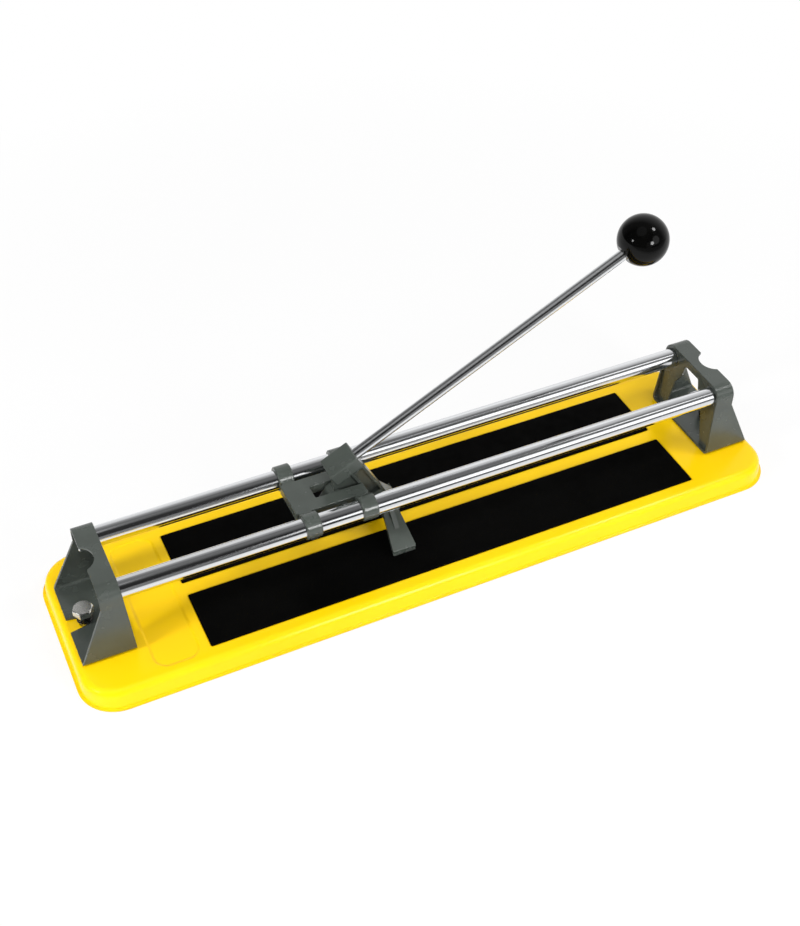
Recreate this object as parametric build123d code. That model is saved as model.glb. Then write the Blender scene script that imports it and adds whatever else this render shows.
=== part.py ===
from build123d import *
import os
from math import atan, cos, degrees, pi, radians, sin, sqrt

# Tile cutter, in millimetres. X runs along the rails, Y to the rear, Z up.
# The origin is the middle of the base's footprint, on the floor.

# Base tray
base_width = 149.0
base_corner = 29.0
base_sheet = 1.5
deck_height = 15.2
lip_width = 1.6
lip_thickness = 1.2
skirt_lean = 2.3
shoulder_radius = 5.5

# Mats and the bare strip between them
mat_length = 400.0
mat_width = 51.5
mat_thickness = 2.0
mat_corner = 1.0
mat_edge_round = 0.5
mat_shift = 10.75
mat_end_space = 83.3
strip_width = 13.1
recess_depth = 1.2
recess_margin = 0.5
dish_margin = 8.0
dish_depth = 0.8
dish_width = 122.0
dish_corner = 9.0
dish_slope = 60.0

# Rails
rail_radius = 7.5
rail_spacing = 53.8
rail_top_gap = 1.3
rail_end_inset = 1.0
rail_end_chamfer = 0.8

# Brackets
bracket_height = 62.9
bracket_sheet = 2.0
bracket_end_gap = 8.3
bracket_foot_width = 38.5
bracket_top_width = 15.3
bracket_lean = 3.2
bracket_splay = 3.6
bracket_straight = 17.5
bracket_knee_round = 40.0
bracket_foot_bend = 4.0
notch_radius = 12.5
notch_depth = 7.5
foot_slot_mouth = 14.5
web_arch_drop = 7.1
web_arch_width = 18.0
web_throat_drop = 18.7
web_throat_width = 23.0
web_shoulder_drop = 30.2
web_shoulder_width = 37.0
web_foot_width = 51.0
web_corner = 1.5

# Bracket bolts and their springs
bolt_radius = 4.0
bolt_head_across = 13.0
bolt_head_height = 5.3
bolt_head_bevel = 0.3
bolt_end_inset = 12.5
bolt_tail = 1.6
nut_height = 6.5
washer_radius = 8.0
washer_thickness = 1.6
spring_space = 8.55
spring_wire = 1.4
spring_mean_radius = 5.2
spring_turns = 3

# Carriage
carriage_left = -106.3
carriage_length = 56.0
carriage_height = 7.5
carriage_top_rise = 4.45
crossbar_width = 19.1
bar_width = 10.4
eye_length = 11.6
eye_wall = 1.8
eye_rise = 0.9
eye_inset = 1.0
casting_round = 1.0
seam_width = 0.7
seam_rise = 0.35

# Pivot
pivot_from_left = 36.6
pivot_drop = 4.15
pivot_radius = 3.0
pivot_lug_radius = 6.5
pivot_head_radius = 4.5
pivot_head_height = 2.0
clip_radius = 5.0
clip_thickness = 1.2
pivot_tail = 0.8

# Lever, drawn in its own plane: u along the rod, w square to it, both from the pivot
lever_angle = 28.0
arm_half = 5.65
web_half = 3.0
boss_radius = 6.8
head_half = 9.7
head_back = 6.2
head_front = 29.8
head_low = 15.8
head_high = 27.3
arm_back = 18.4
arm_end = -37.0
arm_flare = 3.9
arm_flare_start = -23.9
arm_rim = 2.0
arm_pocket_high = 11.0
arm_pocket_low = -19.0
arm_web_half = 2.2
tongue_half = 3.0
tongue_length = 7.5
tongue_inset = 2.0
rod_offset = 21.6
rod_radius = 4.2
rod_socket = 19.0
knob_reach = 285.2
knob_radius = 18.75
knob_flat_radius = 7.3
knob_socket = 17.0
knob_edge_round = 0.6

# Breaker foot
hub_back = 15.2
hub_half = 9.5
hub_length = 8.5
hub_shoulder = 3.5
wing_reach = 35.3
wing_thickness = 4.6
wing_rise = 24.3
wing_root_half = 5.0
wing_shift = -1.2
wing_tip_half = 9.35
gusset_half = 2.0
gusset_reach = 22.0
gusset_height = 4.0
breaker_pin_radius = 1.75

# Scoring wheel in its fork
wheel_u = -31.0
wheel_w = -14.5
wheel_radius = 8.0
wheel_thickness = 3.0
wheel_edge = 0.3
wheel_bevel = 2.0
fork_radius = 5.5
axle_radius = 2.5
axle_head_radius = 4.2
axle_head_height = 2.8
axle_nut_across = 8.0
axle_nut_height = 4.0
axle_tail = 1.0

# Clearances
seat_gap = 0.05
press_gap = 0.02
rail_fit = 0.05
slide_fit = 0.07
spin_fit = 0.05
hole_gap = 0.2
slot_gap = 0.5
arm_gap = 0.35
fork_gap = 0.3
spring_gap = 0.3
rest_gap = 0.3

# Heights that follow from the sizes above
mat_floor = deck_height - recess_depth
mat_top = mat_floor + mat_thickness
foot_low = deck_height + seat_gap
foot_top = foot_low + bracket_sheet
bracket_top = foot_low + bracket_height
straight_low = bracket_top - bracket_straight
rail_z = bracket_top - bracket_sheet - rail_top_gap - rail_radius
rail_y = rail_spacing / 2
bolt_head_low = foot_top + spring_space
deck_under = deck_height - base_sheet

# Places along X that follow from them
base_length = mat_length + 2 * mat_end_space
bracket_outer = base_length / 2 - bracket_end_gap
bracket_inner = bracket_outer - bracket_foot_width
strip_inner = bracket_inner + bracket_lean
bracket_strip = strip_inner + bracket_top_width
bolt_x = bracket_outer - bolt_end_inset
rail_half = bracket_strip - rail_end_inset
mat_left = mat_shift - mat_length / 2
carriage_right = carriage_left + carriage_length
carriage_top = rail_z + carriage_top_rise
carriage_low = carriage_top - carriage_height
eye_z = rail_z + eye_rise

# The lever's plane
pivot_x = carriage_left + pivot_from_left
pivot_z = rail_z - pivot_drop
rod_direction = Vector(cos(radians(lever_angle)), 0, sin(radians(lever_angle)))
lever_plane = Plane(
    origin=(pivot_x, 0, pivot_z), x_dir=rod_direction, z_dir=(0, -1, 0)
)
window_half = arm_half + arm_gap
bar_outer = window_half + bar_width
hub_front = head_front + arm_flare
hub_end = arm_end - hub_length


def block(x_range, y_range, z_range):
    """A box between two limits on each axis."""
    size = [high - low for low, high in (x_range, y_range, z_range)]
    corner = [low for low, high in (x_range, y_range, z_range)]
    return Pos(*corner) * Box(*size, align=Align.MIN)


def round_bar(start, direction, radius, length):
    """A cylinder from a start point along a direction."""
    return extrude(Plane(origin=start, z_dir=direction) * Circle(radius), length)


def cross_bar(centre, radius, y_low, y_high):
    """A cylinder along Y at a point of the lever's plane."""
    point = lever_plane.from_local_coords((centre[0], centre[1], 0))
    return round_bar((point.X, y_low, point.Z), (0, 1, 0), radius, y_high - y_low)


def lever_plate(points, half):
    """A plate in the lever's plane, the same to both sides of the middle."""
    return extrude(lever_plane * Polygon(*points, align=None), half, both=True)


def capsule(start, end, start_radius, end_radius, half):
    """Two rounds of the lever's plane and the straight sides between them."""
    rounds = Pos(*start) * Circle(start_radius) + Pos(*end) * Circle(end_radius)
    return extrude(lever_plane * make_hull(rounds.edges()), half, both=True)


def hexagon(centre, across, height):
    """An upright hexagon prism on its lower face."""
    return extrude(Pos(*centre) * RegularPolygon(across / 2, 6, major_radius=False), height)


def rounded_slab(length, width, corner, height, taper=0.0):
    return extrude(RectangleRounded(length, width, corner), height, taper=taper)


def tray_form(inset):
    """The base's outer form, or its hollow when the inset is the sheet."""
    edge = lip_width + inset
    height = deck_height - inset
    lean = degrees(atan(skirt_lean / deck_height))
    form = rounded_slab(
        base_length - 2 * edge, base_width - 2 * edge, base_corner - edge, height, lean
    )
    top_edges = form.faces().sort_by(Axis.Z)[-1].edges()
    return fillet(top_edges, shoulder_radius - inset)


def pressed_recess(centre, length, width, corner, depth, slope=0.0):
    """The sheet below a recess in the deck, and the recess itself. The slope is the walls' lean."""
    back = rounded_slab(
        length + 2 * base_sheet,
        width + 2 * base_sheet,
        corner + base_sheet,
        base_sheet + depth,
        -slope,
    )
    back = Pos(*centre, deck_under - depth) * back
    hollow = rounded_slab(length, width, corner, 2 * depth, -slope)
    return back, Pos(*centre, deck_height - depth) * hollow


def mat_centre_y(side):
    return side * (strip_width + mat_width) / 2


def make_tray():
    lip = rounded_slab(base_length, base_width, base_corner, lip_thickness)
    hollow = tray_form(base_sheet)
    tray = tray_form(0) + lip - hollow
    mat_recess = (
        mat_length + 2 * recess_margin,
        mat_width + 2 * recess_margin,
        mat_corner + recess_margin,
        recess_depth,
    )
    dish_low = -bracket_inner + dish_margin
    dish_high = mat_left - recess_margin - dish_margin
    dish = (dish_high - dish_low, dish_width, dish_corner, dish_depth, dish_slope)
    recesses = [
        pressed_recess((mat_shift, mat_centre_y(-1)), *mat_recess),
        pressed_recess((mat_shift, mat_centre_y(1)), *mat_recess),
        pressed_recess(((dish_low + dish_high) / 2, 0), *dish),
    ]
    for back, pocket in recesses:
        tray = tray + back
    for back, pocket in recesses:
        tray = tray - pocket
    for side in (-1, 1):
        tray = tray - round_bar((side * bolt_x, 0, 0), (0, 0, 1), bolt_radius + hole_gap, 2 * deck_height)
    return tray


def make_mat(side):
    mat = rounded_slab(mat_length, mat_width, mat_corner, mat_thickness)
    mat = fillet(mat.faces().sort_by(Axis.Z)[-1].edges(), mat_edge_round)
    return Pos(mat_shift, mat_centre_y(side), mat_floor) * mat


def hoop_face(inset):
    """The bracket's outline across the rails, the sheet's outer face or its inner one."""
    low = foot_low + inset
    high = bracket_top - inset
    half = rail_y + rail_radius + rail_fit + bracket_sheet - inset
    splay = bracket_splay * (straight_low - low) / (straight_low - foot_low)
    right = [(half + splay, low), (half, straight_low), (half, high)]
    left = [(-y, z) for y, z in reversed(right)]
    outline = Polygon(*right, *left, align=None)
    corners = outline.vertices().sort_by(Axis.Y)
    outline = fillet(corners[:2], bracket_foot_bend - inset)
    knees = [v for v in outline.vertices() if abs(v.Y - straight_low) < press_gap]
    outline = fillet(knees, bracket_knee_round)
    corners = [v for v in outline.vertices() if v.Y > high - press_gap]
    return fillet(corners, rail_radius + rail_fit + bracket_sheet - inset)


def web_face():
    """The web that holds the rails, open between them and wider towards the foot."""
    right = [
        (web_foot_width / 2, foot_low),
        (web_shoulder_width / 2, bracket_top - web_shoulder_drop),
        (web_throat_width / 2, bracket_top - web_throat_drop),
        (web_arch_width / 2, bracket_top - web_arch_drop),
    ]
    left = [(-y, z) for y, z in reversed(right)]
    opening = Polygon(*right, *left, align=None)
    corners = [v for v in opening.vertices() if v.Y > foot_low + press_gap]
    opening = fillet(corners, web_corner)
    web = hoop_face(bracket_sheet / 2) - opening
    for rail_side in (-1, 1):
        web = web - Pos(rail_side * rail_y, rail_z) * Circle(rail_radius + hole_gap)
    return web


def make_bracket(side):
    sheet = hoop_face(0) - hoop_face(bracket_sheet)
    hoop = extrude(Plane.YZ * sheet, 2 * bracket_outer, both=True)
    profile = [
        (side * bracket_inner, foot_low),
        (side * strip_inner, bracket_top),
        (side * bracket_strip, bracket_top),
        (side * bracket_strip, straight_low),
        (side * bracket_outer, foot_top),
        (side * bracket_outer, foot_low),
    ]
    side_view = extrude(Plane.XZ * Polygon(*profile, align=None), base_width, both=True)
    bracket = hoop & side_view
    notch_x = bracket_strip - notch_depth + notch_radius
    notch = round_bar((side * notch_x, 0, rail_z), (0, 0, 1), notch_radius, bracket_height)
    slot_half = bolt_radius + slot_gap
    mouth = Polygon(
        (side * bolt_x, -slot_half),
        (side * bolt_x, slot_half),
        (side * (bracket_outer + bracket_sheet), foot_slot_mouth / 2),
        (side * (bracket_outer + bracket_sheet), -foot_slot_mouth / 2),
        align=None,
    )
    slot = make_hull((mouth + Pos(side * bolt_x, 0) * Circle(slot_half)).edges())
    bracket = bracket - notch - Pos(0, 0, deck_height) * extrude(slot, 2 * bracket_sheet)
    web = extrude(Plane.YZ * web_face(), bracket_sheet / 2, both=True)
    return bracket + Pos(side * (strip_inner + bracket_sheet / 2), 0, 0) * web


def make_rail(side):
    rail = round_bar((-rail_half, side * rail_y, rail_z), (1, 0, 0), rail_radius, 2 * rail_half)
    ends = rail.edges().filter_by(GeomType.CIRCLE)
    return chamfer(ends, rail_end_chamfer)


def make_bolt(side):
    head = hexagon((side * bolt_x, 0, bolt_head_low), bolt_head_across, bolt_head_height)
    top_radius = bolt_head_across / 2 - bolt_head_bevel
    cone = Cone(top_radius + bolt_head_height, top_radius, bolt_head_height)
    cone = Pos(side * bolt_x, 0, bolt_head_low + bolt_head_height / 2) * cone
    shank_low = deck_under - washer_thickness - nut_height - bolt_tail
    shank = round_bar(
        (side * bolt_x, 0, shank_low), (0, 0, 1), bolt_radius, bolt_head_low - shank_low
    )
    return (head & cone) + shank


def make_washer(side):
    low = deck_under - washer_thickness
    centre = (side * bolt_x, 0, low)
    disc = round_bar(centre, (0, 0, 1), washer_radius, washer_thickness)
    return disc - round_bar(centre, (0, 0, 1), bolt_radius + hole_gap, washer_thickness)


def make_nut(side):
    centre = (side * bolt_x, 0, deck_under - washer_thickness - nut_height)
    body = hexagon(centre, bolt_head_across, nut_height)
    return body - round_bar(centre, (0, 0, 1), bolt_radius + press_gap, nut_height)


def biarc(start, start_tangent, end, end_tangent):
    """Two arcs that meet smoothly and follow a coil over a quarter turn."""
    chord = end - start
    both = start_tangent + end_tangent
    spread = 2 * (1 - start_tangent.dot(end_tangent))
    along = chord.dot(both)
    reach = (-along + sqrt(along * along + spread * chord.dot(chord))) / spread
    near = start + start_tangent * reach
    far = end - end_tangent * reach
    middle = (near + far) * 0.5
    middle_tangent = (far - near).normalized()
    first = TangentArc(start, middle, tangent=start_tangent)
    second = TangentArc(middle, end, tangent=middle_tangent)
    return [first, second]


def coil_point(angle, side, low, rise):
    """A point of the coil's middle line, which starts on the bolt's inner side."""
    return Vector(
        side * (bolt_x - spring_mean_radius * cos(angle)),
        -side * spring_mean_radius * sin(angle),
        low + rise * angle / (2 * pi),
    )


def coil_tangent(angle, side, rise):
    along = Vector(
        side * spring_mean_radius * sin(angle),
        -side * spring_mean_radius * cos(angle),
        rise / (2 * pi),
    )
    return along.normalized()


def make_spring(side):
    """A coil of round wire between the foot plate and the bolt head."""
    low = foot_top + spring_gap + spring_wire / 2
    high = bolt_head_low - seat_gap - spring_wire / 2
    rise = (high - low) / spring_turns
    steps = 4 * spring_turns
    angles = [step * pi / 2 for step in range(steps + 1)]
    edges = []
    for start, end in zip(angles[:-1], angles[1:]):
        edges += biarc(
            coil_point(start, side, low, rise),
            coil_tangent(start, side, rise),
            coil_point(end, side, low, rise),
            coil_tangent(end, side, rise),
        )
    path = Wire(edges)
    section = Plane(
        origin=coil_point(0, side, low, rise), z_dir=coil_tangent(0, side, rise)
    ) * Circle(spring_wire / 2)
    return sweep(section, path=path)


def least_spring_gap():
    """Least distance between wire surfaces that are half a turn or more apart."""
    low = foot_top + spring_gap + spring_wire / 2
    rise = (bolt_head_low - seat_gap - spring_wire / 2 - low) / spring_turns
    per_turn = 48
    points = [
        coil_point(2 * pi * step / per_turn, 1, low, rise)
        for step in range(per_turn * spring_turns + 1)
    ]
    distances = [
        (points[far] - points[near]).length
        for near in range(len(points))
        for far in range(near + per_turn // 2, len(points))
    ]
    return min(distances) - spring_wire


def make_carriage():
    heights = (carriage_low, carriage_top)
    frame = block((carriage_left, carriage_left + crossbar_width), (-bar_outer, bar_outer), heights)
    bar_sides = [sorted((side * window_half, side * bar_outer)) for side in (-1, 1)]
    for bar_ends in bar_sides:
        frame = frame + block((carriage_left, carriage_right), bar_ends, heights)
    frame = fillet(frame.edges().filter_by(Axis.Z), casting_round)
    frame = fillet(frame.faces().sort_by(Axis.Z)[-1].edges(), casting_round / 2)
    for bar_ends in bar_sides:
        frame = frame + cross_bar((0, 0), pivot_lug_radius, *bar_ends)
    eye_radius = rail_radius + eye_wall
    eye_starts = (carriage_left + eye_inset, carriage_right - eye_length)
    for side in (-1, 1):
        web_ends = sorted((side * (bar_outer - 2 * casting_round), side * rail_y))
        for start in eye_starts:
            eye = round_bar((start, side * rail_y, eye_z), (1, 0, 0), eye_radius, eye_length)
            eye = chamfer(eye.edges().filter_by(GeomType.CIRCLE), casting_round / 2)
            web_low = (start + casting_round, start + eye_length - casting_round)
            frame = frame + eye + block(web_low, web_ends, heights)
            seam_ends = sorted((side * rail_y, side * (rail_y + eye_radius + seam_rise)))
            seam_heights = (eye_z - seam_width / 2, eye_z + seam_width / 2)
            frame = frame + block(web_low, seam_ends, seam_heights)
    for side in (-1, 1):
        frame = frame - round_bar(
            (carriage_left - eye_length, side * rail_y, rail_z),
            (1, 0, 0),
            rail_radius + slide_fit,
            carriage_length + 2 * eye_length,
        )
    return frame - cross_bar((0, 0), pivot_radius + press_gap, -rail_spacing, rail_spacing)


def make_pivot_pin():
    pin_end = bar_outer + seat_gap + clip_thickness + pivot_tail
    head_inner = -bar_outer - seat_gap
    shank = cross_bar((0, 0), pivot_radius, head_inner, pin_end)
    return shank + cross_bar((0, 0), pivot_head_radius, head_inner - pivot_head_height, head_inner)


def make_pivot_clip():
    inner = bar_outer + seat_gap
    outer = inner + clip_thickness
    return cross_bar((0, 0), clip_radius, inner, outer) - cross_bar(
        (0, 0), pivot_radius + press_gap, inner, outer
    )


def rod_start():
    return lever_plane.from_local_coords((head_front - rod_socket, rod_offset, 0))


def knob_flat():
    """Distance along the rod from the pivot to the knob's flat."""
    return knob_reach - sqrt(knob_radius ** 2 - knob_flat_radius ** 2)


def make_lever_casting():
    head = lever_plate(
        [
            (head_back, head_low),
            (head_front, head_low),
            (head_front, head_high),
            (head_back, head_high),
        ],
        head_half,
    )
    head = fillet(head.edges(), casting_round)
    arm = lever_plate(
        [
            (arm_back, head_low + casting_round),
            (head_front, head_low + casting_round),
            (head_front, arm_flare_start),
            (hub_front, arm_end),
            (arm_back, arm_end),
        ],
        arm_half,
    )
    tongue = lever_plate(
        [
            (arm_back + tongue_inset, arm_end),
            (head_front - tongue_inset, arm_end),
            (head_front - tongue_inset, arm_end - tongue_length),
            (arm_back + tongue_inset, arm_end - tongue_length),
        ],
        tongue_half,
    )
    web = lever_plate(
        [
            (-boss_radius / 2, 0),
            (head_back + casting_round, head_low + casting_round),
            (arm_back + casting_round, head_low + casting_round),
            (arm_back + casting_round, -2 * boss_radius),
            (0, -boss_radius / 2),
        ],
        web_half,
    )
    pocket = [
        (arm_back + arm_rim, arm_pocket_low),
        (head_front - arm_rim, arm_pocket_low),
        (head_front - arm_rim, arm_pocket_high),
        (arm_back + arm_rim, arm_pocket_high),
    ]
    arm = arm - lever_plate(pocket, arm_half) + lever_plate(pocket, arm_web_half)
    wheel_place = (wheel_u, wheel_w)
    prong = capsule((0, 0), wheel_place, boss_radius, fork_radius, arm_half)
    casting = head + arm + tongue + web + prong
    fork_half = wheel_thickness / 2 + fork_gap
    casting = casting - cross_bar(wheel_place, wheel_radius + 4 * fork_gap, -fork_half, fork_half)
    casting = casting - cross_bar(wheel_place, axle_radius + press_gap, -arm_half, arm_half)
    casting = casting - cross_bar((0, 0), pivot_radius + spin_fit, -head_half, head_half)
    casting = casting - cross_bar(breaker_pin_place(), breaker_pin_radius + press_gap, -arm_half, arm_half)
    return casting - round_bar(rod_start(), rod_direction, rod_radius + press_gap, 2 * rod_socket)


def make_lever_rod():
    length = knob_flat() + knob_socket - head_front + rod_socket
    return round_bar(rod_start(), rod_direction, rod_radius, length)


def make_knob():
    centre = lever_plane.from_local_coords((knob_reach, rod_offset, 0))
    flat_start = lever_plane.from_local_coords((knob_flat(), rod_offset, 0))
    ball = Pos(centre.X, centre.Y, centre.Z) * Sphere(knob_radius)
    keep = round_bar(flat_start, rod_direction, 2 * knob_radius, 3 * knob_radius)
    ball = ball & keep
    rim = ball.edges().filter_by(GeomType.CIRCLE)
    ball = fillet(rim, knob_edge_round)
    return ball - round_bar(
        flat_start, rod_direction, rod_radius + press_gap, knob_socket + press_gap
    )


def breaker_pin_place():
    return ((arm_back + head_front) / 2, arm_end - tongue_length / 2)


def make_breaker_foot():
    hub = lever_plate(
        [
            (hub_back, arm_end - seat_gap - hub_shoulder),
            (hub_back + hub_shoulder, arm_end - seat_gap),
            (hub_front, arm_end - seat_gap),
            (hub_front, hub_end),
            (hub_back, hub_end),
        ],
        hub_half,
    )
    middle = lever_plane.from_local_coords(((hub_back + hub_front) / 2, (arm_end + hub_end) / 2, 0))
    middle = middle + Vector(wing_shift, 0, 0)
    tip_low = mat_top + rest_gap
    tip_high = tip_low + wing_thickness
    across = [
        (0, tip_low + wing_rise),
        (wing_reach, tip_low),
        (wing_reach, tip_high),
        (0, tip_high + wing_rise),
        (-wing_reach, tip_high),
        (-wing_reach, tip_low),
    ]
    plan = [
        (middle.X - wing_root_half, 0),
        (middle.X - wing_tip_half, wing_reach),
        (middle.X + wing_tip_half, wing_reach),
        (middle.X + wing_root_half, 0),
        (middle.X + wing_tip_half, -wing_reach),
        (middle.X - wing_tip_half, -wing_reach),
    ]
    wings = extrude(Plane.YZ * Polygon(*across, align=None), base_length, both=True)
    wings = wings & extrude(Polygon(*plan, align=None), bracket_height, both=True)
    end_faces = wings.faces().sort_by(Axis.Y)
    upright = [
        edge
        for face in (end_faces[0], end_faces[-1])
        for edge in face.edges().filter_by(Axis.Z)
    ]
    wings = fillet(upright, casting_round)
    slope = wing_rise / wing_reach
    gusset_end = tip_high + wing_rise - slope * gusset_reach
    gusset_top = tip_high + wing_rise + gusset_height - slope * hub_half
    gusset = [
        (-gusset_reach, gusset_end),
        (-hub_half, gusset_top),
        (hub_half, gusset_top),
        (gusset_reach, gusset_end),
        (0, tip_low + wing_rise + wing_thickness / 2),
    ]
    ribs = extrude(Plane.YZ * Polygon(*gusset, align=None), gusset_half, both=True)
    foot = hub + wings + Pos(middle.X, 0, 0) * ribs
    slot = lever_plate(
        [
            (arm_back + tongue_inset - seat_gap, arm_end + hub_length),
            (head_front - tongue_inset + seat_gap, arm_end + hub_length),
            (head_front - tongue_inset + seat_gap, arm_end - tongue_length - seat_gap),
            (arm_back + tongue_inset - seat_gap, arm_end - tongue_length - seat_gap),
        ],
        tongue_half + seat_gap,
    )
    arm_room = lever_plate(
        [
            (arm_back - hub_shoulder, arm_end - seat_gap),
            (hub_front + hub_shoulder, arm_end - seat_gap),
            (hub_front + hub_shoulder, arm_end + 2 * hub_length),
            (arm_back - hub_shoulder, arm_end + 2 * hub_length),
        ],
        hub_half,
    )
    foot = foot - slot - arm_room
    return foot - cross_bar(breaker_pin_place(), breaker_pin_radius + press_gap, -hub_half, hub_half)


def make_breaker_pin():
    return cross_bar(breaker_pin_place(), breaker_pin_radius, -hub_half, hub_half)


def make_wheel():
    half = wheel_thickness / 2
    profile = Polygon(
        (axle_radius + spin_fit, -half),
        (wheel_radius - wheel_bevel, -half),
        (wheel_radius, -wheel_edge / 2),
        (wheel_radius, wheel_edge / 2),
        (wheel_radius - wheel_bevel, half),
        (axle_radius + spin_fit, half),
        align=None,
    )
    wheel = revolve(profile, Axis.Y)
    place = lever_plane.from_local_coords((wheel_u, wheel_w, 0))
    return Pos(place.X, place.Y, place.Z) * wheel


def make_wheel_screw():
    place = (wheel_u, wheel_w)
    head_inner = -arm_half - seat_gap
    end = arm_half + seat_gap + axle_nut_height + axle_tail
    shank = cross_bar(place, axle_radius, head_inner, end)
    return shank + cross_bar(place, axle_head_radius, head_inner - axle_head_height, head_inner)


def make_wheel_nut():
    place = (wheel_u, wheel_w)
    inner = arm_half + seat_gap
    outline = Pos(*place) * RegularPolygon(axle_nut_across / 2, 6, major_radius=False)
    body = Pos(0, inner, 0) * extrude(lever_plane * outline, -axle_nut_height)
    return body - cross_bar(place, axle_radius + press_gap, inner, inner + axle_nut_height)


nodes = {
    "base_tray": make_tray(),
    "front_mat": make_mat(-1),
    "rear_mat": make_mat(1),
    "bracket_bolts": Compound(children=[make_bolt(-1), make_bolt(1)]),
    "deck_washers": Compound(children=[make_washer(-1), make_washer(1)]),
    "bracket_nuts": Compound(children=[make_nut(-1), make_nut(1)]),
    "left_bolt_spring": make_spring(-1),
    "right_bolt_spring": make_spring(1),
    "left_bracket": make_bracket(-1),
    "right_bracket": make_bracket(1),
    "front_rail": make_rail(-1),
    "rear_rail": make_rail(1),
    "carriage_frame": make_carriage(),
    "pivot_pin": make_pivot_pin(),
    "pivot_clip": make_pivot_clip(),
    "lever_casting": make_lever_casting(),
    "lever_rod": make_lever_rod(),
    "ball_knob": make_knob(),
    "breaker_foot": make_breaker_foot(),
    "breaker_pin": make_breaker_pin(),
    "cutter_wheel": make_wheel(),
    "wheel_screw": make_wheel_screw(),
    "wheel_nut": make_wheel_nut(),
}

os.makedirs("parts", exist_ok=True)
for name, shape in nodes.items():
    export_step(shape, "parts/" + name + ".step")

print("least gap between spring coils, mm:", round(least_spring_gap(), 3))
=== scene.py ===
import math

import bmesh
import bpy
from mathutils import Matrix, Vector


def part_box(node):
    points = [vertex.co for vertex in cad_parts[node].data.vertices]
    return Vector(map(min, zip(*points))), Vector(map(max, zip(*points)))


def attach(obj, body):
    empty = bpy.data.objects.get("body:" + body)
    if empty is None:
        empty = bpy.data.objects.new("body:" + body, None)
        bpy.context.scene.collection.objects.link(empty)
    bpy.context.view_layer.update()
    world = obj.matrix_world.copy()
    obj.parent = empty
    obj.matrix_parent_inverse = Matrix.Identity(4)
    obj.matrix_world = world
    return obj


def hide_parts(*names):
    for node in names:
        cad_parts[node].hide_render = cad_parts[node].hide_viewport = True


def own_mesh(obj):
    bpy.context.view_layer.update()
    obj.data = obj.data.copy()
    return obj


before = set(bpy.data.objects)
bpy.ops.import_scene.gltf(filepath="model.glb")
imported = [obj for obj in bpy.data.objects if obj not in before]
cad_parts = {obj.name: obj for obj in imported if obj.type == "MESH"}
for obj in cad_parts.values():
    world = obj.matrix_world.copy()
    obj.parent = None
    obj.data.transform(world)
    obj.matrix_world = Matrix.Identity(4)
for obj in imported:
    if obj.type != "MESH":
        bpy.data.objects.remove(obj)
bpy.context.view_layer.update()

# Camera fitted to the photograph, in metres and degrees.
# The picture is upright, so the sensor's width lies along its height.
IMAGE_HEIGHT = 926
CAMERA_PLACE = (-0.326994, -0.657647, 0.757674)
CAMERA_AZIMUTH = -26.7083
CAMERA_ELEVATION = 43.5416
CAMERA_ROLL = 1.3604
FOCAL_PIXELS = 1354.54
CAMERA_SENSOR = 36.0
CAMERA_SHIFT = (-0.0281, 0.0071)
CAMERA_CLIP = (0.01, 100.0)

# Lamps: name, azimuth and elevation of the place, distance, diameter, radiance.
# The strong ones are kept off the chrome, which shows the soft windows instead.
# The broad lamps light the faces and aren't mirrored in them.
LAMP_TARGET = (0.0, 0.0, 0.05)
BROAD_LAMPS = [
    ("top_fill", -20.0, 75.0, 1.5, 0.60, 1.8),
    ("side_fill", -79.0, 24.0, 1.4, 0.34, 25.0),
]
STRONG_LAMPS = [
    ("right_lamp", 66.0, 55.0, 1.4, 0.26, 24.0),
    ("front_lamp", 14.0, 22.0, 1.4, 0.32, 28.0),
    ("side_lamp", -82.0, 24.0, 1.4, 0.18, 30.0),
]
SOFT_WINDOWS = [
    ("low_window", 29.0, 24.0, 4.0, 2.2, 1.45),
    ("high_window", 61.0, 54.5, 4.0, 0.6, 1.6),
    ("ceiling", -63.0, 70.0, 4.0, 3.0, 0.32),
    ("front_wall", -3.0, 12.0, 4.0, 2.0, 0.2),
]

# The room's light, which grows upwards and a little to the front:
# the way it grows, and its least and greatest level
AMBIENT_TOWARDS = (-0.05, -0.35, 0.93)
AMBIENT_LEVELS = (0.12, 0.68)

# What polished faces see: a dark room that turns white towards the back right.
# Each pair is how far a direction points that way, from -1 to 1, and the level there.
ROOM_TOWARDS = (0.75, 0.66, 0.0)
ROOM_LEVELS = [
    (-1.0, 0.02),
    (-0.25, 0.02),
    (-0.08, 0.11),
    (0.05, 0.16),
    (0.32, 0.17),
    (0.46, 0.40),
    (0.58, 0.66),
    (0.72, 0.86),
    (0.82, 1.0),
]
POINTING_RANGE = (-1.0, 1.0)
RAMP_RANGE = (0.0, 1.0)
WHITE = (1.0, 1.0, 1.0, 1.0)

# Floor: it glows white far out and shows the object's shadow close by.
# Polished faces see it darken between two places in front of the object.
FLOOR_SIZE = 8.0
FLOOR_DROP = 0.0003
FLOOR_COLOUR = (0.86, 0.86, 0.86, 1.0)
FLOOR_FADE = (0.36, 0.75)
FLOOR_GLOW = (0.84, 1.0)
FLOOR_FRONT = (-0.72, -0.33)
FLOOR_FRONT_LEVELS = (0.3, 1.0)

# Springs under the bolt heads
SPRING_TURNS = 3
SPRING_STEPS = 48
SPRING_SIDES = 16
SPRING_WIRE_RADIUS = 0.0007

# Chromed pieces, the lever rod's slope, and how often the streaks change in a metre,
# along the bar and across it
CHROME_NODES = ["front_rail", "rear_rail", "lever_rod"]
ROD_SLOPE = 28.0
CHROME_STREAKS = (4.0, 900.0, 900.0)

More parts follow.
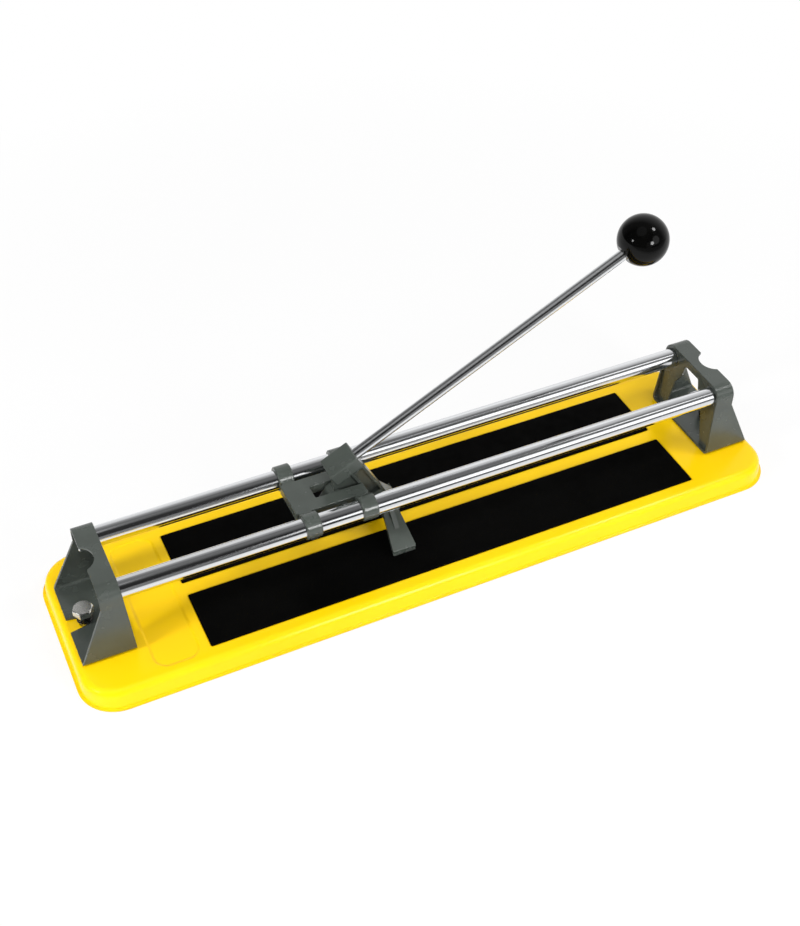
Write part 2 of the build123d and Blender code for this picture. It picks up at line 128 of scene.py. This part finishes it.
# Two colours for each surface, which drifts between them
ENAMEL_COLOURS = ((0.95, 0.59, 0.002), (0.99, 0.64, 0.003))
RUBBER_COLOURS = ((0.0007, 0.0007, 0.0006), (0.0016, 0.0016, 0.0014))
PAINT_COLOURS = ((0.054, 0.063, 0.055), (0.066, 0.077, 0.068))
CHROME_COLOURS = ((0.70, 0.71, 0.73), (0.82, 0.83, 0.84))
PLASTIC_COLOURS = ((0.001, 0.001, 0.001), (0.002, 0.002, 0.0018))
ZINC_COLOURS = ((0.60, 0.60, 0.57), (0.76, 0.76, 0.73))
SPRING_COLOURS = ((0.035, 0.034, 0.032), (0.075, 0.073, 0.070))
STEEL_COLOURS = ((0.34, 0.34, 0.35), (0.46, 0.46, 0.47))

# The least and the greatest roughness of each surface
ENAMEL_ROUGHNESS = (0.16, 0.26)
RUBBER_ROUGHNESS = (0.60, 0.76)
PAINT_ROUGHNESS = (0.22, 0.29)
RAIL_ROUGHNESS = (0.09, 0.16)
ROD_ROUGHNESS = (0.12, 0.20)
PLASTIC_ROUGHNESS = (0.08, 0.14)
ZINC_ROUGHNESS = (0.22, 0.38)
SPRING_ROUGHNESS = (0.20, 0.34)
STEEL_ROUGHNESS = (0.28, 0.42)

# The parts of a noise's range over which the colour and the roughness change
COLOUR_EDGES = (0.35, 0.65)
ROUGHNESS_EDGES = (0.3, 0.7)
BEVEL_SAMPLES = 6

# Plated pieces: how much finer the grain of the roughness and of the bumps is than the colour's
PLATE_ROUGHNESS_FINER = 4
PLATE_BUMP_FINER = 6

UP = Vector((0, 0, 1))
FULL_TURN = 2 * math.pi


def spread(tree, value, source, target):
    """Maps a number from one range onto another."""
    node = tree.nodes.new("ShaderNodeMapRange")
    node.inputs["From Min"].default_value = source[0]
    node.inputs["From Max"].default_value = source[1]
    node.inputs["To Min"].default_value = target[0]
    node.inputs["To Max"].default_value = target[1]
    tree.links.new(value, node.inputs["Value"])
    return node.outputs["Result"]


def combine(tree, operation, first, second):
    """One number from two."""
    node = tree.nodes.new("ShaderNodeMath")
    node.operation = operation
    tree.links.new(first, node.inputs[0])
    tree.links.new(second, node.inputs[1])
    return node.outputs[0]


class Graph:
    """A material's node tree with short calls to add and join nodes."""

    def __init__(self, name):
        self.material = bpy.data.materials.new(name)
        self.material.use_nodes = True
        self.tree = self.material.node_tree
        self.tree.nodes.clear()
        self.shader = self.add("ShaderNodeBsdfPrincipled")
        output = self.add("ShaderNodeOutputMaterial")
        self.join(self.shader, "BSDF", output, "Surface")

    def add(self, kind, **sockets):
        node = self.tree.nodes.new(kind)
        for key, value in sockets.items():
            node.inputs[key.replace("_", " ")].default_value = value
        return node

    def join(self, source, output, target, socket):
        self.tree.links.new(source.outputs[output], target.inputs[socket])

    def place(self, scale=(1, 1, 1), rotation=(0, 0, 0)):
        """The piece's own coordinates, in metres, stretched and turned."""
        coordinates = self.add("ShaderNodeTexCoord")
        mapping = self.add("ShaderNodeMapping", Scale=scale, Rotation=rotation)
        self.join(coordinates, "Object", mapping, "Vector")
        return mapping

    def noise(self, mapping, scale, detail=3.0):
        node = self.add("ShaderNodeTexNoise", Scale=scale, Detail=detail)
        self.join(mapping, "Vector", node, "Vector")
        return node

    def colours(self, source, pair):
        """The shader's colour, between two colours, from a noise."""
        ramp = self.add("ShaderNodeValToRGB")
        for stop, edge, colour in zip(ramp.color_ramp.elements, COLOUR_EDGES, pair):
            stop.position = edge
            stop.color = (*colour, 1)
        self.join(source, "Fac", ramp, "Fac")
        self.join(ramp, "Color", self.shader, "Base Color")

    def roughness(self, source, limits):
        """The shader's roughness, between two limits, from a noise."""
        dullness = spread(self.tree, source.outputs["Fac"], ROUGHNESS_EDGES, limits)
        self.tree.links.new(dullness, self.shader.inputs["Roughness"])

    def bump(self, source, output, strength, distance, edge_round=0.0):
        """Small bumps from a texture, on edges that look rounded."""
        node = self.add("ShaderNodeBump", Strength=strength, Distance=distance)
        self.join(source, output, node, "Height")
        if edge_round > 0:
            bevel = self.add("ShaderNodeBevel", Radius=edge_round)
            bevel.samples = BEVEL_SAMPLES
            self.join(bevel, "Normal", node, "Normal")
        self.join(node, "Normal", self.shader, "Normal")

    def set(self, **sockets):
        for key, value in sockets.items():
            self.shader.inputs[key.replace("_", " ")].default_value = value


def yellow_enamel():
    graph = Graph("yellow_enamel")
    own = graph.place()
    graph.colours(graph.noise(own, scale=9.0), ENAMEL_COLOURS)
    graph.roughness(graph.noise(own, scale=60.0, detail=4.0), ENAMEL_ROUGHNESS)
    ripple = graph.noise(own, scale=500.0, detail=2.0)
    graph.bump(ripple, "Fac", strength=0.03, distance=0.0003, edge_round=0.002)
    graph.set(Specular_IOR_Level=0.2, Coat_Weight=0.04, Coat_Roughness=0.08)
    return graph.material


def black_rubber():
    graph = Graph("black_rubber")
    own = graph.place()
    graph.colours(graph.noise(own, scale=30.0, detail=4.0), RUBBER_COLOURS)
    graph.roughness(graph.noise(own, scale=120.0), RUBBER_ROUGHNESS)
    grain = graph.add("ShaderNodeTexVoronoi", Scale=1400.0)
    graph.join(own, "Vector", grain, "Vector")
    graph.bump(grain, "Distance", strength=0.25, distance=0.0003, edge_round=0.0004)
    graph.set(Specular_IOR_Level=0.03)
    return graph.material


def grey_paint():
    graph = Graph("grey_paint")
    own = graph.place()
    graph.colours(graph.noise(own, scale=45.0, detail=4.0), PAINT_COLOURS)
    graph.roughness(graph.noise(own, scale=90.0), PAINT_ROUGHNESS)
    ripple = graph.noise(own, scale=500.0)
    graph.bump(ripple, "Fac", strength=0.02, distance=0.0003, edge_round=0.0007)
    graph.set(Specular_IOR_Level=0.5)
    return graph.material


def drawn_chrome(name, limits, slope=0.0):
    """Chrome with fine streaks along a bar that rises by a slope in degrees."""
    graph = Graph(name)
    along = graph.place(CHROME_STREAKS, (0, math.radians(slope), 0))
    streaks = graph.noise(along, scale=1.0, detail=4.0)
    graph.colours(streaks, CHROME_COLOURS)
    graph.roughness(streaks, limits)
    graph.set(Metallic=1.0)
    return graph.material


def gloss_plastic():
    graph = Graph("gloss_black_plastic")
    own = graph.place()
    graph.colours(graph.noise(own, scale=50.0), PLASTIC_COLOURS)
    graph.roughness(graph.noise(own, scale=220.0, detail=4.0), PLASTIC_ROUGHNESS)
    ripple = graph.noise(own, scale=400.0, detail=2.0)
    graph.bump(ripple, "Fac", strength=0.03, distance=0.0002)
    graph.set(Specular_IOR_Level=0.1, Coat_Weight=0.12, Coat_Roughness=0.08)
    return graph.material


def plated_steel(name, pair, limits, scale):
    graph = Graph(name)
    own = graph.place()
    graph.colours(graph.noise(own, scale, detail=4.0), pair)
    graph.roughness(graph.noise(own, PLATE_ROUGHNESS_FINER * scale), limits)
    pits = graph.noise(own, PLATE_BUMP_FINER * scale, detail=2.0)
    graph.bump(pits, "Fac", strength=0.04, distance=0.0002, edge_round=0.0002)
    graph.set(Metallic=1.0)
    return graph.material


def dress(node, material):
    """Gives a CAD node its material in every slot."""
    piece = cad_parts[node]
    if not piece.material_slots:
        piece.data.materials.append(None)
    for slot in piece.material_slots:
        slot.link = "OBJECT"
        slot.material = material


def wire_ring(mesh, point, along):
    """A ring of corners round the wire at a point."""
    across = along.cross(UP).normalized()
    upward = across.cross(along).normalized()
    ring = []
    for corner in range(SPRING_SIDES):
        turn = FULL_TURN * corner / SPRING_SIDES
        offset = across * math.cos(turn) + upward * math.sin(turn)
        ring.append(mesh.verts.new(point + SPRING_WIRE_RADIUS * offset))
    return ring


def coil_mesh(name, centre, radius, low, high, side):
    """A wound wire of the same helix as the solid spring, with flat ends."""
    rise = (high - low) / SPRING_TURNS
    mesh = bmesh.new()
    rings = []
    for step in range(SPRING_TURNS * SPRING_STEPS + 1):
        angle = FULL_TURN * step / SPRING_STEPS
        point = Vector((
            centre.x - side * radius * math.cos(angle),
            centre.y - side * radius * math.sin(angle),
            low + rise * angle / FULL_TURN,
        ))
        along = Vector((
            side * radius * math.sin(angle),
            -side * radius * math.cos(angle),
            rise / FULL_TURN,
        )).normalized()
        rings.append(wire_ring(mesh, point, along))
    for near, far in zip(rings[:-1], rings[1:]):
        for corner in range(SPRING_SIDES):
            following = (corner + 1) % SPRING_SIDES
            around = (near[corner], near[following], far[following], far[corner])
            mesh.faces.new(around).smooth = True
    mesh.faces.new(list(reversed(rings[0])))
    mesh.faces.new(rings[-1])
    bmesh.ops.recalc_face_normals(mesh, faces=mesh.faces)
    data = bpy.data.meshes.new(name)
    mesh.to_mesh(data)
    mesh.free()
    piece = bpy.data.objects.new(name, data)
    bpy.context.scene.collection.objects.link(piece)
    return piece


def make_spring(node, side, material):
    """Winds a spring in place of its solid and hangs it on the base."""
    corner_low, corner_high = (Vector(corner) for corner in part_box(node))
    centre = (corner_low + corner_high) / 2
    radius = (corner_high.y - corner_low.y) / 2 - SPRING_WIRE_RADIUS
    low = corner_low.z + SPRING_WIRE_RADIUS
    high = corner_high.z - SPRING_WIRE_RADIUS
    piece = coil_mesh(node + "_coil", centre, radius, low, high, side)
    piece.data.materials.append(material)
    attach(piece, "base")
    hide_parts(node)
    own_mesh(piece)


def direction(azimuth, elevation):
    """From the object towards a place, azimuth 0 in front and 90 to the right."""
    turn = math.radians(azimuth)
    lift = math.radians(elevation)
    flat = math.cos(lift)
    return Vector((flat * math.sin(turn), -flat * math.cos(turn), math.sin(lift)))


def make_camera():
    back = direction(CAMERA_AZIMUTH, CAMERA_ELEVATION)
    right = UP.cross(back).normalized()
    upward = back.cross(right)
    roll = math.radians(CAMERA_ROLL)
    rolled_right = math.cos(roll) * right + math.sin(roll) * upward
    rolled_up = -math.sin(roll) * right + math.cos(roll) * upward
    turn = Matrix((rolled_right, rolled_up, back)).transposed()
    data = bpy.data.cameras.new("photo_camera")
    data.sensor_width = CAMERA_SENSOR
    data.lens = CAMERA_SENSOR * FOCAL_PIXELS / IMAGE_HEIGHT
    data.shift_x, data.shift_y = CAMERA_SHIFT
    data.clip_start, data.clip_end = CAMERA_CLIP
    camera = bpy.data.objects.new("photo_camera", data)
    camera.matrix_world = Matrix.Translation(CAMERA_PLACE) @ turn.to_4x4()
    bpy.context.scene.collection.objects.link(camera)
    bpy.context.scene.camera = camera


def make_lamp(name, azimuth, elevation, distance, diameter, radiance):
    data = bpy.data.lights.new(name, "AREA")
    data.shape = "DISK"
    data.size = diameter
    area = math.pi * diameter ** 2 / 4
    data.energy = radiance * math.pi * area
    lamp = bpy.data.objects.new(name, data)
    back = direction(azimuth, elevation)
    lamp.location = Vector(LAMP_TARGET) + distance * back
    lamp.rotation_mode = "QUATERNION"
    lamp.rotation_quaternion = (-back).to_track_quat("-Z", "Y")
    bpy.context.scene.collection.objects.link(lamp)
    return lamp


def keep_off(lamp, nodes):
    """Lets a lamp light everything but some of the pieces."""
    spared = bpy.data.collections.new(lamp.name + "_spared")
    for node in nodes:
        spared.objects.link(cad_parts[node])
    for entry in spared.collection_objects:
        entry.light_linking.link_state = "EXCLUDE"
    lamp.light_linking.receiver_collection = spared


def seen_rays(tree):
    """Two switches: for straight rays, and for straight, mirrored and glass rays together."""
    rays = tree.nodes.new("ShaderNodeLightPath").outputs
    mirrored = combine(tree, "MAXIMUM", rays["Is Camera Ray"], rays["Is Glossy Ray"])
    shown = combine(tree, "MAXIMUM", mirrored, rays["Is Transmission Ray"])
    return rays["Is Camera Ray"], shown


def pointing(tree, outward, towards):
    """How far a direction points a certain way, from -1 to 1."""
    node = tree.nodes.new("ShaderNodeVectorMath")
    node.operation = "DOT_PRODUCT"
    node.inputs[1].default_value = towards
    tree.links.new(outward, node.inputs[0])
    return node.outputs["Value"]


def finish_tree(tree, share, first, second, output_kind):
    """Mixes two shaders by a share and sends them to the output."""
    mix = tree.nodes.new("ShaderNodeMixShader")
    tree.links.new(share, mix.inputs["Fac"])
    tree.links.new(first.outputs[0], mix.inputs[1])
    tree.links.new(second.outputs[0], mix.inputs[2])
    output = tree.nodes.new(output_kind)
    tree.links.new(mix.outputs[0], output.inputs["Surface"])


def background(tree, strength):
    node = tree.nodes.new("ShaderNodeBackground")
    node.inputs["Color"].default_value = WHITE
    tree.links.new(strength, node.inputs["Strength"])
    return node


def make_world():
    world = bpy.data.worlds.new("studio")
    bpy.context.scene.world = world
    world.use_nodes = True
    tree = world.node_tree
    tree.nodes.clear()
    straight, seen = seen_rays(tree)
    outward = tree.nodes.new("ShaderNodeTexCoord").outputs["Generated"]
    upward = pointing(tree, outward, AMBIENT_TOWARDS)
    daylight = spread(tree, upward, POINTING_RANGE, AMBIENT_LEVELS)
    sideways = pointing(tree, outward, ROOM_TOWARDS)
    along = spread(tree, sideways, POINTING_RANGE, RAMP_RANGE)
    room = tree.nodes.new("ShaderNodeValToRGB")
    stops = room.color_ramp.elements
    while len(stops) < len(ROOM_LEVELS):
        stops.new(0.5)
    for stop, (place, level) in zip(stops, ROOM_LEVELS):
        stop.position = (place + 1) / 2
        stop.color = (level, level, level, 1)
    tree.links.new(along, room.inputs["Fac"])
    lit = combine(tree, "MAXIMUM", room.outputs["Color"], straight)
    ambient = background(tree, daylight)
    shown = background(tree, lit)
    finish_tree(tree, seen, ambient, shown, "ShaderNodeOutputWorld")


def floor_material():
    material = bpy.data.materials.new("floor_white")
    material.use_nodes = True
    tree = material.node_tree
    tree.nodes.clear()
    straight, seen = seen_rays(tree)
    place = tree.nodes.new("ShaderNodeNewGeometry").outputs["Position"]
    away = tree.nodes.new("ShaderNodeVectorMath")
    away.operation = "LENGTH"
    tree.links.new(place, away.inputs[0])
    fade = spread(tree, away.outputs["Value"], FLOOR_FADE, FLOOR_GLOW)
    share = combine(tree, "MULTIPLY", seen, fade)
    matt = tree.nodes.new("ShaderNodeBsdfDiffuse")
    matt.inputs["Color"].default_value = FLOOR_COLOUR
    parts = tree.nodes.new("ShaderNodeSeparateXYZ")
    tree.links.new(place, parts.inputs[0])
    ahead = spread(tree, parts.outputs["Y"], FLOOR_FRONT, FLOOR_FRONT_LEVELS)
    glow = tree.nodes.new("ShaderNodeEmission")
    tree.links.new(combine(tree, "MAXIMUM", ahead, straight), glow.inputs["Strength"])
    finish_tree(tree, share, matt, glow, "ShaderNodeOutputMaterial")
    return material


def make_floor():
    half = FLOOR_SIZE / 2
    corners = [(-half, -half), (half, -half), (half, half), (-half, half)]
    data = bpy.data.meshes.new("floor")
    data.from_pydata([(x, y, -FLOOR_DROP) for x, y in corners], [], [(0, 1, 2, 3)])
    floor = bpy.data.objects.new("floor", data)
    bpy.context.scene.collection.objects.link(floor)
    data.materials.append(floor_material())


make_camera()
make_world()
make_floor()
for settings in SOFT_WINDOWS:
    make_lamp(*settings)
for settings in STRONG_LAMPS:
    keep_off(make_lamp(*settings), CHROME_NODES)
for settings in BROAD_LAMPS:
    make_lamp(*settings).visible_glossy = False
bpy.context.scene.view_settings.view_transform = "Standard"

enamel = yellow_enamel()
rubber = black_rubber()
paint = grey_paint()
rail_chrome = drawn_chrome("rail_chrome", RAIL_ROUGHNESS)
rod_chrome = drawn_chrome("rod_chrome", ROD_ROUGHNESS, ROD_SLOPE)
knob_plastic = gloss_plastic()
zinc = plated_steel("zinc_plate", ZINC_COLOURS, ZINC_ROUGHNESS, scale=140.0)
spring_wire = plated_steel("spring_wire", SPRING_COLOURS, SPRING_ROUGHNESS, scale=180.0)
ground_steel = plated_steel("ground_steel", STEEL_COLOURS, STEEL_ROUGHNESS, scale=200.0)

looks = {
    "base_tray": enamel,
    "front_mat": rubber,
    "rear_mat": rubber,
    "left_bracket": paint,
    "right_bracket": paint,
    "carriage_frame": paint,
    "lever_casting": paint,
    "breaker_foot": paint,
    "front_rail": rail_chrome,
    "rear_rail": rail_chrome,
    "lever_rod": rod_chrome,
    "ball_knob": knob_plastic,
    "bracket_bolts": zinc,
    "deck_washers": zinc,
    "bracket_nuts": zinc,
    "pivot_pin": zinc,
    "pivot_clip": zinc,
    "breaker_pin": zinc,
    "wheel_screw": zinc,
    "wheel_nut": zinc,
    "cutter_wheel": ground_steel,
    "left_bolt_spring": spring_wire,
    "right_bolt_spring": spring_wire,
}
for node, material in looks.items():
    dress(node, material)
make_spring("left_bolt_spring", -1, spring_wire)
make_spring("right_bolt_spring", 1, spring_wire)
